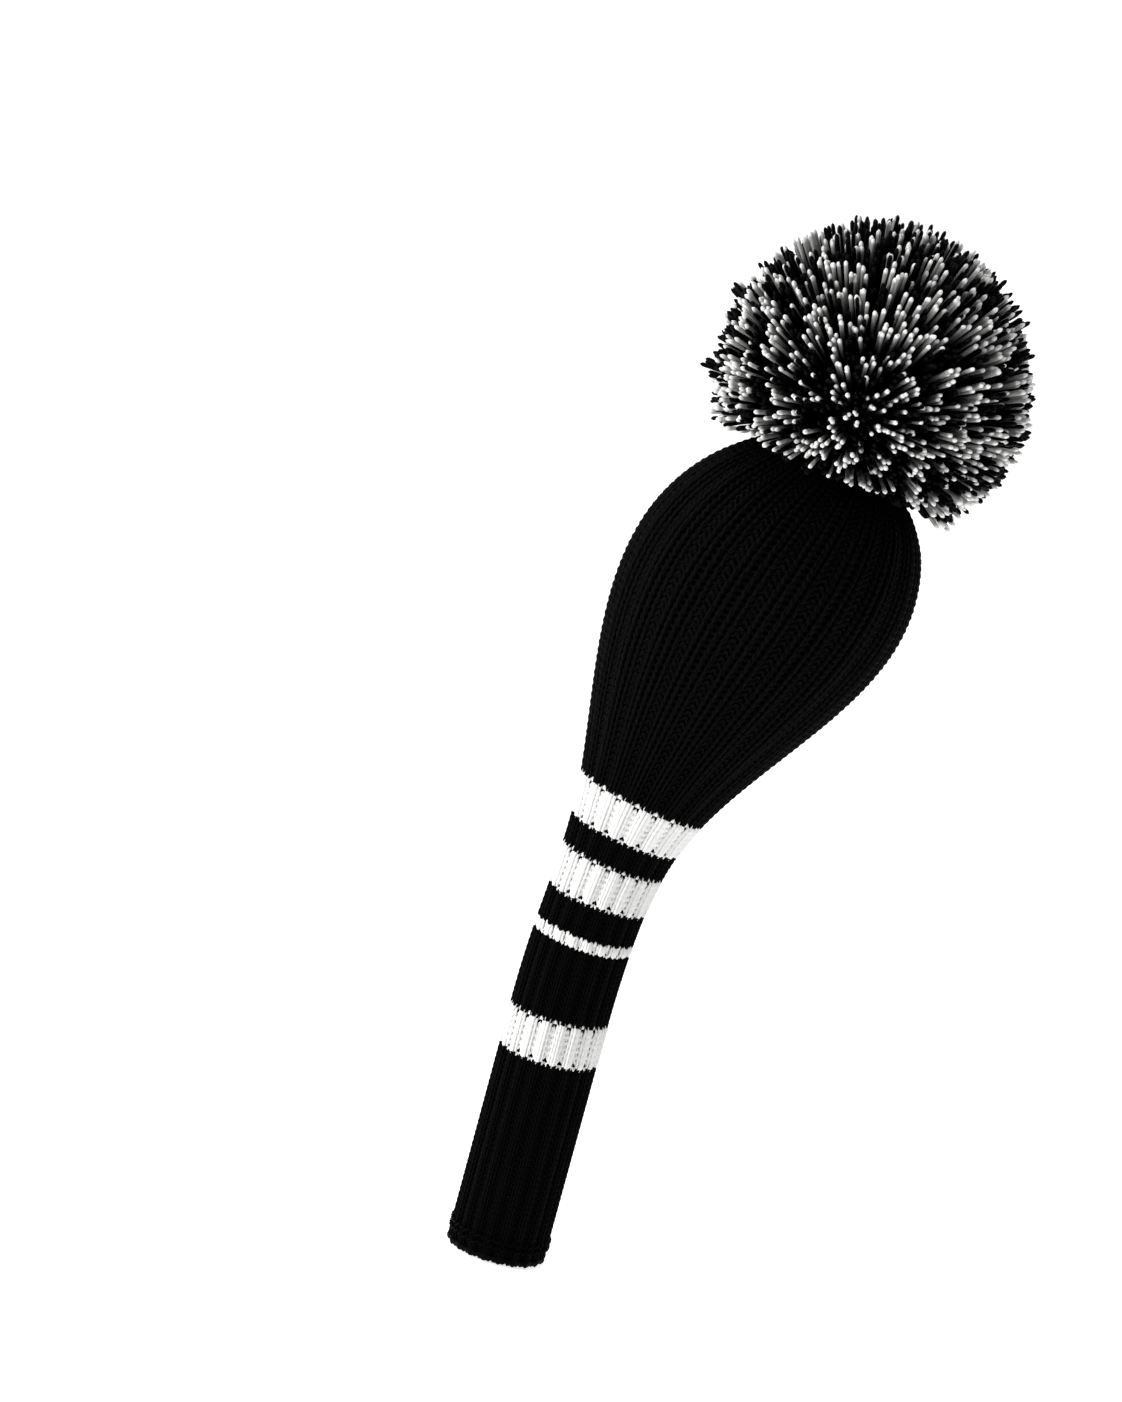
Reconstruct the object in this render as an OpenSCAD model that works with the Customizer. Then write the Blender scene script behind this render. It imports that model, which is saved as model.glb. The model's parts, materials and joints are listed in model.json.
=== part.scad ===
/* [Neck] */
// Outer half-width of the ribbed neck
neck_r = 21.6; // [18:0.2:26]
// Length of the black cuff, from the hem up
cuff_len = 92; // [70:1:110]
// Length of the lowest white band
white_4_len = 16.5; // [12:0.5:20]
// Length of the wide black band that the neck bends in
black_3_len = 34.2; // [28:0.2:40]
// Length of the narrow white band
white_3_len = 5.3; // [4:0.1:8]
// Length of the black band above the narrow white one
black_2_len = 15.5; // [12:0.5:20]
// Length of the middle white band
white_2_len = 16; // [12:0.5:20]
// Length of the black band under the top white one
black_1_len = 14.5; // [12:0.5:20]
// Length of the top white band
white_1_len = 15.5; // [12:0.5:20]

/* [Head] */
// Outer half-width of the sock where the head starts
throat_r = 28.2; // [25:0.2:31]
// How fast the throat widens, in millimetres per millimetre
throat_slope = 0.29; // [0.2:0.01:0.35]
// Outer half-width at the widest place
head_r = 59.1; // [52:0.1:64]
// Front to back depth of the head, as a share of its width
head_depth = 0.86; // [0.8:0.01:1]
// Length from the throat to the widest place
cone_len = 106.5; // [95:0.5:120]
// Height of the rounded crown above the widest place
dome_h = 68; // [58:0.5:74]
// How far the full side of the head leans out from the centre line
head_shift = 8; // [0:0.5:10]
// How much of that lean is gone again at the gathered crown
crown_return = 8; // [0:0.5:10]
// How far the gathered crown faces back from the centre line, in degrees
crown_lean = 5.5; // [0:0.5:8]

/* [Bend] */
// Turn of the centre line along the striped neck, in degrees
neck_turn = 11; // [0:0.5:14]
// Further turn of the centre line along the head, in degrees
head_turn = 6; // [0:0.5:8]

/* [Cloth] */
// Thickness of the outer ribbed knit
knit_t = 2.6; // [2:0.1:3]
// Thickness of the inner knit layer
lining_t = 1.6; // [1.2:0.1:2]
// Slack between the two layers
layer_gap = 0.25; // [0.2:0.05:0.5]
// Half-width of the opening left in the gathered crown
crown_hole_r = 5.2; // [4.8:0.1:6]

/* [Pom] */
// Radius of the yarn ball
pom_r = 67; // [60:0.5:72]
// Height of the ball's centre over the crown
pom_rise = 28; // [25:0.5:32]
// Height of the tie's middle over the crown
tie_rise = 11.6; // [11.2:0.1:14]
// Half-width of the binding round the strands
wrap_r = 8.5; // [7:0.1:10]
// Length of the binding along the pom's axis
wrap_len = 7.6; // [6:0.1:8]
// Lean of the pom that its underside leaves room for, in degrees
lean_room = 11; // [8:0.5:14]

/* [Anchor] */
// Radius of the button inside the crown
button_r = 9; // [7:0.5:10]
// Thickness of the button
button_t = 2.4; // [2:0.1:3]
// Radius of the pair of tie ends through the crown
tails_r = 3; // [2.5:0.1:3.2]
// Radius of the shank between the crown and the binding
shank_r = 3.6; // [3:0.1:4]

/* [Hidden] */

black_knit = "#1b1b1e";
white_knit = "#eeece6";
inner_knit = "#2a2a2e";
cord_grey = "#6d6d70";
button_black = "#101012";

// Stations along the centre line, measured from the hem
s_white_4 = cuff_len;
s_black_3 = s_white_4 + white_4_len;
s_white_3 = s_black_3 + black_3_len;
s_black_2 = s_white_3 + white_3_len;
s_white_2 = s_black_2 + black_2_len;
s_black_1 = s_white_2 + white_2_len;
s_white_1 = s_black_1 + black_1_len;
s_throat = s_white_1 + white_1_len;
s_wide = s_throat + cone_len;
s_crown = s_wide + dome_h;
// The neck widens towards the throat from here
s_flare = s_black_2;

sides = 48;
ring_gap = 8;
dome_rings = 11;
touch_gap = 0.8;
// The head's sections start to lean out a little above the throat
shift_start = s_throat + 6;
shift_end = s_crown - 24;
shift_power = 1.6;
return_len = 12;

// Curvature of the two arcs that make up the centre line
arc_1_len = s_throat - s_black_3;
arc_2_len = s_crown - s_throat;
arc_1_r = arc_1_len / (neck_turn * PI / 180);
arc_2_r = arc_2_len / (head_turn * PI / 180);

function clamp01(v) = min(max(v, 0), 1);
function smooth(v) = let (t = clamp01(v)) t * t * (3 - 2 * t);

// Cubic from value a to value b over length len, with slopes sa and sb
function ease(t, a, b, len, sa, sb) =
    a * (1 - 3 * t * t + 2 * t * t * t)
    + b * (3 * t * t - 2 * t * t * t)
    + len * sa * (t - 2 * t * t + t * t * t)
    + len * sb * (t * t * t - t * t);

// Heading of the centre line at station s, in degrees from +Z towards +X
function turn_at(s) =
    neck_turn * clamp01((s - s_black_3) / arc_1_len)
    + head_turn * max((s - s_throat) / arc_2_len, 0);

function along_arc_1(t) = [arc_1_r * (1 - cos(t)), 0, s_black_3 + arc_1_r * sin(t)];
function point_at(s) =
    s <= s_black_3 ? [0, 0, s]
    : s <= s_throat ? along_arc_1(turn_at(s))
    : along_arc_1(neck_turn) + arc_2_r * [
        cos(neck_turn) - cos(turn_at(s)), 0, sin(turn_at(s)) - sin(neck_turn)
    ];

function radius_at(s) =
    s <= s_flare ? neck_r
    : s <= s_throat
        ? ease((s - s_flare) / (s_throat - s_flare), neck_r, throat_r,
            s_throat - s_flare, 0, throat_slope)
    : ease((s - s_throat) / cone_len, throat_r, head_r, cone_len, throat_slope, 0);
function depth_at(s) = 1 - (1 - head_depth) * smooth((s - s_flare) / (s_wide - s_flare));
function shift_at(s) =
    head_shift * pow(clamp01((s - shift_start) / (shift_end - shift_start)), shift_power)
    - crown_return * smooth((s - s_crown) / return_len + 1);

// A station is [s, half-width, half-depth, sideways shift]
function tube_station(s, inset) =
    [s, radius_at(s) - inset, radius_at(s) * depth_at(s) - inset, shift_at(s)];
function dome_station(angle, inset) = [
    s_wide + (dome_h - inset) * sin(angle),
    (head_r - inset) * cos(angle),
    (head_r * head_depth - inset) * cos(angle),
    shift_at(s_wide + dome_h * sin(angle))
];

function tube_stations(from, to, inset) = let (n = ceil((to - from) / ring_gap))
    [for (i = [0:n]) tube_station(from + (to - from) * i / n, inset)];
function dome_stations(inset) = let (last = acos(crown_hole_r / (head_r - inset)))
    [for (i = [1:dome_rings]) dome_station(last * i / dome_rings, inset)];

function section(st) = let (
    middle = point_at(st[0]),
    across = [cos(turn_at(st[0])), 0, -sin(turn_at(st[0]))]
) [
    for (i = [0:sides - 1]) let (a = 360 * i / sides)
        middle + (st[3] + st[1] * cos(a)) * across + [0, st[2] * sin(a), 0]
];

function flat_list(lists) = [for (l = lists) each l];
function wall_faces(start, rings, out) = [
    for (k = [0:rings - 2]) for (i = [0:sides - 1]) let (
        j = (i + 1) % sides,
        a = start + k * sides + i,
        b = start + k * sides + j,
        c = b + sides,
        d = a + sides
    ) each (out ? [[a, d, c], [a, c, b]] : [[a, b, c], [a, c, d]])
];
function rim_faces(first, second, up) = [
    for (i = [0:sides - 1]) let (
        j = (i + 1) % sides,
        a = first + i,
        b = first + j,
        c = second + j,
        d = second + i
    ) each (up ? [[a, d, c], [a, c, b]] : [[a, b, c], [a, c, d]])
];

// A tube of cloth between an outer and an inner list of stations of one length
module cloth_tube(outer, inner) {
    rings = len(outer);
    inside = rings * sides;
    polyhedron(
        points = flat_list([for (st = concat(outer, inner)) section(st)]),
        faces = concat(
            wall_faces(0, rings, true),
            wall_faces(inside, rings, false),
            rim_faces(0, inside, false),
            rim_faces((rings - 1) * sides, inside + (rings - 1) * sides, true)
        ),
        convexity = 4
    );
}

module band(from, to) cloth_tube(tube_stations(from, to, 0), tube_stations(from, to, knit_t));
lining_out = knit_t + layer_gap;
lining_in = lining_out + lining_t;
module inner_band(from, to)
    cloth_tube(tube_stations(from, to, lining_out), tube_stations(from, to, lining_in));
module sleeve(from, to, outer, inner) translate([0, 0, from]) difference() {
    cylinder(h = to - from, r = outer, $fn = 96);
    translate([0, 0, -1]) cylinder(h = to - from + 2, r = inner, $fn = 96);
}
module ring(r, wire_r) rotate_extrude($fn = 96) translate([r, 0]) circle(wire_r, $fn = 24);

// Places a shape on the middle of the gathered crown, its own +Z along the pom's axis
crown_turn = turn_at(s_crown);
crown_shift = shift_at(s_crown);
crown_point = point_at(s_crown) + crown_shift * [cos(crown_turn), 0, -sin(crown_turn)];
module on_pole() translate(crown_point) rotate([0, crown_turn - crown_lean, 0]) children();

// ---- Neck ----
module black_cuff() color(black_knit) sleeve(0, cuff_len, neck_r, neck_r - knit_t);
module white_band_4() color(white_knit)
    sleeve(s_white_4, s_black_3, neck_r, neck_r - knit_t);
module cuff_lining() color(inner_knit)
    sleeve(0, s_black_3, neck_r - lining_out, neck_r - lining_in);
// Two rounds of chain stitch hold the turned hem
hem_wire_r = 0.6;
module hem_stitch() color(black_knit) for (z = [7, 10])
    translate([0, 0, z]) ring(neck_r + hem_wire_r, hem_wire_r);
module black_band_3() color(black_knit) band(s_black_3, s_white_3);
module bend_lining() color(inner_knit) inner_band(s_black_3, s_white_3);
module white_band_3() color(white_knit) band(s_white_3, s_black_2);
module black_band_2() color(black_knit) band(s_black_2, s_white_2);
module white_band_2() color(white_knit) band(s_white_2, s_black_1);
module black_band_1() color(black_knit) band(s_black_1, s_white_1);
module white_band_1() color(white_knit) band(s_white_1, s_throat);
module neck_lining() color(inner_knit) inner_band(s_white_3, s_throat);

// ---- Head ----
module head_knit() color(black_knit) cloth_tube(
    concat(tube_stations(s_throat, s_wide, 0), dome_stations(0)),
    concat(tube_stations(s_throat, s_wide, knit_t), dome_stations(knit_t))
);
module head_lining() color(inner_knit) cloth_tube(
    concat(tube_stations(s_throat, s_wide, lining_out), dome_stations(lining_out)),
    concat(tube_stations(s_throat, s_wide, lining_in), dome_stations(lining_in))
);
// The yarn that gathers the crown lies round its opening
gather_r = 8;
gather_wire_r = 0.8;
module crown_drawstring() color(black_knit) on_pole() ring(gather_r, gather_wire_r);

// ---- Anchor, through the crown ----
pole_r = head_r * head_r * head_depth * head_depth / dome_h;
shoulder_r = head_r;
button_drop = lining_in + button_r * button_r / (2 * (pole_r - knit_t)) + touch_gap;
pivot_lift = 2.2;
hole_r = 1.1;
hole_gap = 2.2;
module anchor_button() color(button_black) on_pole()
    translate([0, 0, -button_drop - button_t]) difference() {
        cylinder(h = button_t, r = button_r, $fn = 64);
        for (x = [-hole_gap, hole_gap], y = [-hole_gap, hole_gap])
            translate([x, y, -1]) cylinder(h = button_t + 2, r = hole_r, $fn = 24);
    }
knot_r = 4;
module anchor_knot() color(cord_grey) on_pole()
    translate([0, 0, -button_drop - button_t - knot_r]) sphere(knot_r, $fn = 48);
module tie_tails() color(cord_grey) on_pole()
    translate([0, 0, -button_drop]) cylinder(h = button_drop + 0.8, r = tails_r, $fn = 48);

// ---- Tie and pom ----
shank_foot = 1.6;
wrap_foot = tie_rise - wrap_len / 2;
module tie_shank() color(cord_grey) on_pole()
    translate([0, 0, shank_foot]) cylinder(h = wrap_foot - shank_foot - 1.2, r = shank_r, $fn = 48);
module tie_wrap() color(black_knit) on_pole()
    translate([0, 0, wrap_foot]) cylinder(h = wrap_len, r = wrap_r, $fn = 64);

// Half-section of the ball. Its underside follows the crown, turned up by the room
// for a lean about the pivot, so each step r out from the pivot has its own angle.
// The strands part along the ball's own axis, where a narrow gap is left.
parting_r = 2;
relief_from = 10;
relief_to = 64;
relief_step = 6;
function relief_angle(r) = acos(-r / (2 * shoulder_r)) - lean_room;
module pom_half() difference() {
    translate([0, pom_rise]) circle(pom_r, $fn = 128);
    translate([-2 * pom_r, -2 * pom_r]) square([2 * pom_r + parting_r, 5 * pom_r]);
    polygon(concat(
        [[0, -2 * pom_r], [0, wrap_foot - 0.6], [shank_r + 1.6, wrap_foot - 0.6]],
        [for (r = [relief_from:relief_step:relief_to])
            [r * sin(relief_angle(r)), pivot_lift + r * cos(relief_angle(r))]],
        [[2 * pom_r, -2 * pom_r]]
    ));
    translate([0, wrap_foot]) square([wrap_r, wrap_len]);
    translate([0, wrap_foot - 1]) square([shank_r + 1.6, 1.1]);
}
gores = 6;
gore_angle = 180 / gores;
module gore_set(first) on_pole() for (i = [0:gores - 1])
    rotate([0, 0, first + 2 * gore_angle * i])
        rotate_extrude(angle = gore_angle, $fn = 96) pom_half();
module pom_black_yarn() color(black_knit) gore_set(0);
module pom_white_yarn() color(white_knit) gore_set(gore_angle);

black_cuff();
white_band_4();
cuff_lining();
hem_stitch();
black_band_3();
bend_lining();
white_band_3();
black_band_2();
white_band_2();
black_band_1();
white_band_1();
neck_lining();
head_knit();
head_lining();
crown_drawstring();
anchor_button();
anchor_knot();
tie_tails();
tie_shank();
tie_wrap();
pom_black_yarn();
pom_white_yarn();
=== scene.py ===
"""Driver head cover: a double-layer ribbed knit sock with a two-tone yarn pom-pom.

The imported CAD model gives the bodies, the joints and the overall size. This script dresses it:
the outer knit is laid loop by loop, the pom-pom strand by strand, and each finish is procedural.
"""

import json
import logging
import math
from dataclasses import dataclass, field
from enum import Enum

import bpy
import numpy as np
from mathutils import Matrix, Vector


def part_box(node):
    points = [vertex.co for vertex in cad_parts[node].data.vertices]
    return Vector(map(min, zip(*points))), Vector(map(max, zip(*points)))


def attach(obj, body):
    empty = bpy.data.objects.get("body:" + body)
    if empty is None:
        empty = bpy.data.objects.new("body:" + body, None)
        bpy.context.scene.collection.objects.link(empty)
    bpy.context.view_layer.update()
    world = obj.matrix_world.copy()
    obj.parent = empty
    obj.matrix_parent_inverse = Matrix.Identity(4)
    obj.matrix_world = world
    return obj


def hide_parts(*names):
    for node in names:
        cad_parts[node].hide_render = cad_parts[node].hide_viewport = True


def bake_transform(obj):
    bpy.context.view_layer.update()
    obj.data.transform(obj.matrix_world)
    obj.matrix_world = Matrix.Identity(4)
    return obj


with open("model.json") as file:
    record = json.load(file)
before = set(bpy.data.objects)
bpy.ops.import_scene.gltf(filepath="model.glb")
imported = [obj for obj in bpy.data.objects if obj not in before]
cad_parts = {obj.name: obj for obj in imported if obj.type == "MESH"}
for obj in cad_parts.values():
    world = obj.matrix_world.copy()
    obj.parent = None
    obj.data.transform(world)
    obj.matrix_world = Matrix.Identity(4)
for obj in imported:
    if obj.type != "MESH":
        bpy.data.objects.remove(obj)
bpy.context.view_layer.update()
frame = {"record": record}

LOG = logging.getLogger("head_cover")
MM = 0.001
FULL_TURN = 2 * math.pi
SEED = 20
TINY = 1e-12
YARN_UV = "yarn"
JOINTS = {joint["name"]: joint for joint in frame["record"]["behaviour"]["joints"]}


class Body(Enum):
    """The CAD bodies that pieces ride on."""

    CUFF = "neck_cuff"
    SOCK = "sock"
    ANCHOR = "anchor"
    TIE = "tie"
    POM = "pom"


class Slot(Enum):
    """The record's material slots."""

    BLACK = "black_yarn"
    WHITE = "white_yarn"
    LINING = "lining_yarn"
    CORD = "tie_cord"
    BUTTON = "button_plastic"


# ---------------------------------------------------------------- finishes
class NodeGraph:
    """A small helper that adds shader nodes to one material."""

    def __init__(self, name: str) -> None:
        """Starts a material with a Principled shader.

        Args:
            name: The material's name.
        """
        self.material = bpy.data.materials.new(name)
        self.material.use_nodes = True
        self.tree = self.material.node_tree
        self.shader = self.tree.nodes["Principled BSDF"]

    def add(self, kind: str, inputs: dict | None = None, **settings) -> bpy.types.Node:
        """Adds a node.

        Args:
            kind: The node's type, such as ShaderNodeTexNoise.
            inputs: Values or sockets for its inputs, by name or number.
            **settings: The node's own settings.

        Returns:
            The new node.
        """
        node = self.tree.nodes.new(kind)
        for key, value in settings.items():
            setattr(node, key, value)
        for key, value in (inputs or {}).items():
            if isinstance(value, bpy.types.NodeSocket):
                self.tree.links.new(value, node.inputs[key])
            else:
                node.inputs[key].default_value = value
        return node

    def math(self, operation: str, first: object, second: object = 0.0) -> bpy.types.NodeSocket:
        """Adds a Math node and returns its output."""
        return self.add("ShaderNodeMath", {0: first, 1: second}, operation=operation).outputs[0]

    def noise(self, where: object, scale: float, detail: float = 3.0) -> bpy.types.NodeSocket:
        """Adds a Noise Texture and returns its factor."""
        made = self.add("ShaderNodeTexNoise", {"Vector": where, "Scale": scale, "Detail": detail})
        return made.outputs[0]

    def ramp(self, factor: object, stops: tuple) -> bpy.types.NodeSocket:
        """Adds a Color Ramp.

        Args:
            factor: The socket that drives it.
            stops: Pairs of position and linear RGB colour.

        Returns:
            The ramp's colour output.
        """
        node = self.add("ShaderNodeValToRGB", {"Fac": factor})
        marks = node.color_ramp.elements
        while len(marks) < len(stops):
            marks.new(0.5)
        for mark, (place, colour) in zip(marks, stops):
            mark.position = place
            mark.color = (*colour, 1.0)
        return node.outputs[0]

    def between(self, factor: object, low: float, high: float) -> bpy.types.NodeSocket:
        """Adds a Map Range that goes from low to high as its factor goes from 0 to 1."""
        return self.add("ShaderNodeMapRange", {"Value": factor, "To Min": low, "To Max": high}).outputs[0]

    def smooth(self, value: object, low: float, high: float, least: float) -> bpy.types.NodeSocket:
        """Adds a smooth step up to 1.

        Args:
            value: The socket that drives it.
            low: Value at which it starts.
            high: Value at which it reaches 1.
            least: Its height before the start.

        Returns:
            The step's output.
        """
        inputs = {"Value": value, "From Min": low, "From Max": high, "To Min": least, "To Max": 1.0}
        return self.add("ShaderNodeMapRange", inputs, interpolation_type="SMOOTHSTEP").outputs[0]

    def link(self, source: bpy.types.NodeSocket, socket: str) -> None:
        """Feeds one of the shader's inputs."""
        self.tree.links.new(source, self.shader.inputs[socket])

    def bump(self, height: object, strength: float, distance: float) -> None:
        """Drives the shader's normal from a height.

        Args:
            height: The socket that gives the height.
            strength: How much of it is felt.
            distance: The height that a value of 1 stands for.
        """
        node = self.add(
            "ShaderNodeBump", {"Height": height, "Strength": strength, "Distance": distance}
        )
        self.link(node.outputs[0], "Normal")


@dataclass(frozen=True)
class DepthShade:
    """Painted shade on packed strands: darker from the ball's surface inwards, and behind their cut ends.
    """

    centre: tuple[float, float, float]
    radius: float
    inner: float = 0.76
    outer: float = 1.02
    darkest: float = 0.02
    end_length: float = 2.2 * MM
    end_bright: float = 0.3 * MM
    behind_end: float = 0.43

    def factor(self, graph: NodeGraph, place: object, along: object) -> bpy.types.NodeSocket:
        """Adds the painted shade's nodes, which give 1 at the cut ends and the darkest share deep down.

        Args:
            graph: The material's graph.
            place: The shaded point's position.
            along: Its distance along the strand, 0 at the cut end and negative behind it.

        Returns:
            The factor's socket.
        """
        offset = graph.add("ShaderNodeVectorMath", {0: place, 1: self.centre}, operation="SUBTRACT")
        reach = graph.add("ShaderNodeVectorMath", {0: offset.outputs[0]}, operation="LENGTH")
        low, high = self.inner * self.radius, self.outer * self.radius
        # Painted shade deep in the ball, then painted shade behind each cut end.
        deep = graph.smooth(reach.outputs["Value"], low, high, self.darkest)
        end = graph.smooth(along, -self.end_length, -self.end_bright, self.behind_end)
        return graph.math("MULTIPLY", deep, end)


@dataclass(frozen=True)
class YarnFinish:
    """Spun acrylic yarn: plies that wind round the yarn, fine fibres and a soft sheen, with painted shade
    in their hollows.
    """

    name: str
    light: tuple[float, float, float]
    dark: tuple[float, float, float]
    ramp_ends: tuple[float, float] = (0.25, 0.75)
    roughness: float = 0.85
    roughness_spread: float = 0.1
    sheen: float = 0.25
    sheen_roughness: float = 0.5
    specular: float = 0.2
    plies: float = 3.0
    twist_per_metre: float = 150.0
    fibre_scale: float = 2600.0
    fibre_detail: float = 2.0
    blotch_scale: float = 60.0
    blotch_detail: float = 3.0
    ply_share: float = 0.45
    fibre_share: float = 0.35
    bump: float = 0.5
    bump_distance: float = 0.2 * MM
    # Painted shade for the pom's strands, if any.
    shade: DepthShade | None = None

    def material(self) -> bpy.types.Material:
        """Builds the material, which reads the yarn's own coordinates from its UV map.

        Returns:
            The material.
        """
        graph = NodeGraph(self.name)
        along = graph.add("ShaderNodeUVMap", uv_map=YARN_UV).outputs[0]
        split = graph.add("ShaderNodeSeparateXYZ", {0: along}).outputs
        place = graph.add("ShaderNodeTexCoord").outputs["Object"]
        turns = graph.math("MULTIPLY", split[0], self.twist_per_metre)
        winding = graph.math("ADD", turns, graph.math("MULTIPLY", split[1], self.plies))
        ply = graph.math("SINE", graph.math("MULTIPLY", winding, FULL_TURN))
        ply = graph.math("ADD", graph.math("MULTIPLY", ply, 0.5), 0.5)
        fibre = graph.noise(place, self.fibre_scale, self.fibre_detail)
        blotch = graph.noise(place, self.blotch_scale, self.blotch_detail)
        blotched = graph.math("MULTIPLY", blotch, 1 - self.ply_share - self.fibre_share)
        fibrous = graph.math("MULTIPLY", fibre, self.fibre_share)
        # The ply wave and the fibre noise also set the bump's height, so the colour is darker in the
        # bump's hollows: painted shade, over a random fibre tone. The blotch noise is random tone.
        mixed = graph.math("ADD", graph.math("MULTIPLY", ply, self.ply_share), fibrous)
        mixed = graph.math("ADD", mixed, blotched)
        colour = graph.ramp(mixed, tuple(zip(self.ramp_ends, (self.dark, self.light))))
        # Painted shade: the colour is scaled down deep in the pom and behind the strands' cut ends.
        if self.shade is not None:
            scale = graph.add("ShaderNodeVectorMath", {0: colour}, operation="SCALE")
            factor = self.shade.factor(graph, place, split[0])
            graph.tree.links.new(factor, scale.inputs["Scale"])
            colour = scale.outputs[0]
        graph.link(colour, "Base Color")
        smoothest = self.roughness - self.roughness_spread
        roughest = min(self.roughness + self.roughness_spread, 1.0)
        graph.link(graph.between(fibre, smoothest, roughest), "Roughness")
        graph.bump(graph.math("ADD", ply, fibre), self.bump, self.bump_distance)
        graph.shader.inputs["Sheen Weight"].default_value = self.sheen
        graph.shader.inputs["Sheen Roughness"].default_value = self.sheen_roughness
        graph.shader.inputs["Specular IOR Level"].default_value = self.specular
        return graph.material


@dataclass(frozen=True)
class ButtonFinish:
    """Moulded button plastic, with a fine orange-peel and handling scuffs."""

    name: str = "button_plastic"
    colour: tuple[float, float, float] = (0.014, 0.014, 0.015)
    scuffed: tuple[float, float, float] = (0.03, 0.03, 0.032)
    scuff_scale: float = 900.0
    scuff_detail: float = 5.0
    scuff_ends: tuple[float, float] = (0.45, 0.75)
    roughness: tuple[float, float] = (0.25, 0.5)
    peel_scale: float = 2500.0
    peel_strength: float = 0.15
    peel_height: float = 0.1 * MM

    def material(self) -> bpy.types.Material:
        """Builds the material.

        Returns:
            The material.
        """
        graph = NodeGraph(self.name)
        place = graph.add("ShaderNodeTexCoord").outputs["Object"]
        scuff = graph.noise(place, self.scuff_scale, self.scuff_detail)
        stops = tuple(zip(self.scuff_ends, (self.colour, self.scuffed)))
        graph.link(graph.ramp(scuff, stops), "Base Color")
        graph.link(graph.between(scuff, *self.roughness), "Roughness")
        graph.bump(graph.noise(place, self.peel_scale), self.peel_strength, self.peel_height)
        return graph.material


@dataclass(frozen=True)
class FloorFinish:
    """Seamless studio paper."""

    name: str = "studio_paper"
    colour: tuple[float, float, float] = (0.9, 0.9, 0.9)
    roughness: float = 0.9
    glow: float = 0.75

    def material(self) -> bpy.types.Material:
        """Builds the material.

        Returns:
            The material.
        """
        graph = NodeGraph(self.name)
        graph.shader.inputs["Base Color"].default_value = (*self.colour, 1.0)
        graph.shader.inputs["Roughness"].default_value = self.roughness
        graph.shader.inputs["Specular IOR Level"].default_value = 0.0
        graph.shader.inputs["Emission Color"].default_value = (1.0, 1.0, 1.0, 1.0)
        graph.shader.inputs["Emission Strength"].default_value = self.glow
        return graph.material


MATERIALS: dict[str, bpy.types.Material] = {}


def finish_of(key: str) -> bpy.types.Material:
    """Finds a finish's material, which is made at its first use.

    Args:
        key: The finish's key in FINISHES.

    Returns:
        The material.
    """
    if key not in MATERIALS:
        MATERIALS[key] = FINISHES[key].material()
    return MATERIALS[key]


# ---------------------------------------------------------------- meshes
@dataclass
class MeshParts:
    """Points, quads, triangles and the yarn coordinates of their corners."""

    points: list[np.ndarray] = field(default_factory=list)
    quads: list[np.ndarray] = field(default_factory=list)
    quad_uv: list[np.ndarray] = field(default_factory=list)
    tris: list[np.ndarray] = field(default_factory=list)
    tri_uv: list[np.ndarray] = field(default_factory=list)
    count: int = 0

    def add(
        self,
        points: np.ndarray,
        quads: np.ndarray,
        quad_uv: np.ndarray,
        tris: np.ndarray | None = None,
        tri_uv: np.ndarray | None = None,
    ) -> None:
        """Adds one patch, whose faces number its own points from 0.

        Args:
            points: Its points.
            quads: Point numbers of its quads.
            quad_uv: Yarn coordinates of their corners.
            tris: Point numbers of its triangles, if it has any.
            tri_uv: Yarn coordinates of their corners.
        """
        self.points.append(points.reshape(-1, 3))
        self.quads.append(quads + self.count)
        self.quad_uv.append(quad_uv)
        if tris is not None:
            self.tris.append(tris + self.count)
            self.tri_uv.append(tri_uv)
        self.count += len(self.points[-1])

    def build(self, name: str, finish: str) -> bpy.types.Object:
        """Makes the Blender object.

        Args:
            name: The piece's name.
            finish: Its finish, a key of FINISHES.

        Returns:
            The object, linked to the scene.
        """
        points = np.concatenate(self.points)
        quads = np.concatenate(self.quads).reshape(-1, 4)
        tris = np.concatenate(self.tris).reshape(-1, 3) if self.tris else np.zeros((0, 3), int)
        corners = np.concatenate([quads.ravel(), tris.ravel()]).astype(np.int32)
        starts = np.concatenate(
            [np.arange(len(quads)) * 4, len(quads) * 4 + np.arange(len(tris)) * 3]
        ).astype(np.int32)
        uv = np.concatenate([x.reshape(-1, 2) for x in self.quad_uv + self.tri_uv])
        mesh = bpy.data.meshes.new(name)
        mesh.vertices.add(len(points))
        mesh.vertices.foreach_set("co", points.astype(np.float32).ravel())
        mesh.loops.add(len(corners))
        mesh.loops.foreach_set("vertex_index", corners)
        mesh.polygons.add(len(starts))
        mesh.polygons.foreach_set("loop_start", starts)
        mesh.update(calc_edges=True)
        mesh.polygons.foreach_set("use_smooth", np.ones(len(starts), bool))
        layer = mesh.uv_layers.new(name=YARN_UV)
        layer.data.foreach_set("uv", uv.astype(np.float32).ravel())
        mesh.materials.append(finish_of(finish))
        piece = bpy.data.objects.new(name, mesh)
        bpy.context.scene.collection.objects.link(piece)
        LOG.info("%s: %d faces", name, len(starts))
        return piece


def unit(vectors: np.ndarray) -> np.ndarray:
    """Scales vectors to length 1."""
    return vectors / np.maximum(np.linalg.norm(vectors, axis=-1, keepdims=True), TINY)


def grid_faces(rows: int, columns: int, closed: bool) -> np.ndarray:
    """Joins a grid's points into quads, with its columns closed into rings.

    Args:
        rows: Rings along the tube.
        columns: Points in each ring.
        closed: True if the last ring joins the first.

    Returns:
        Point numbers, one row of four for each quad.
    """
    row = np.arange(rows if closed else rows - 1)[:, None]
    column = np.arange(columns)[None, :]
    after = (row + 1) % rows
    beside = (column + 1) % columns
    corners = [
        row * columns + column,
        row * columns + beside,
        after * columns + beside,
        after * columns + column,
    ]
    return np.stack([np.broadcast_to(c, (len(row), columns)) for c in corners], -1).reshape(-1, 4)


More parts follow.
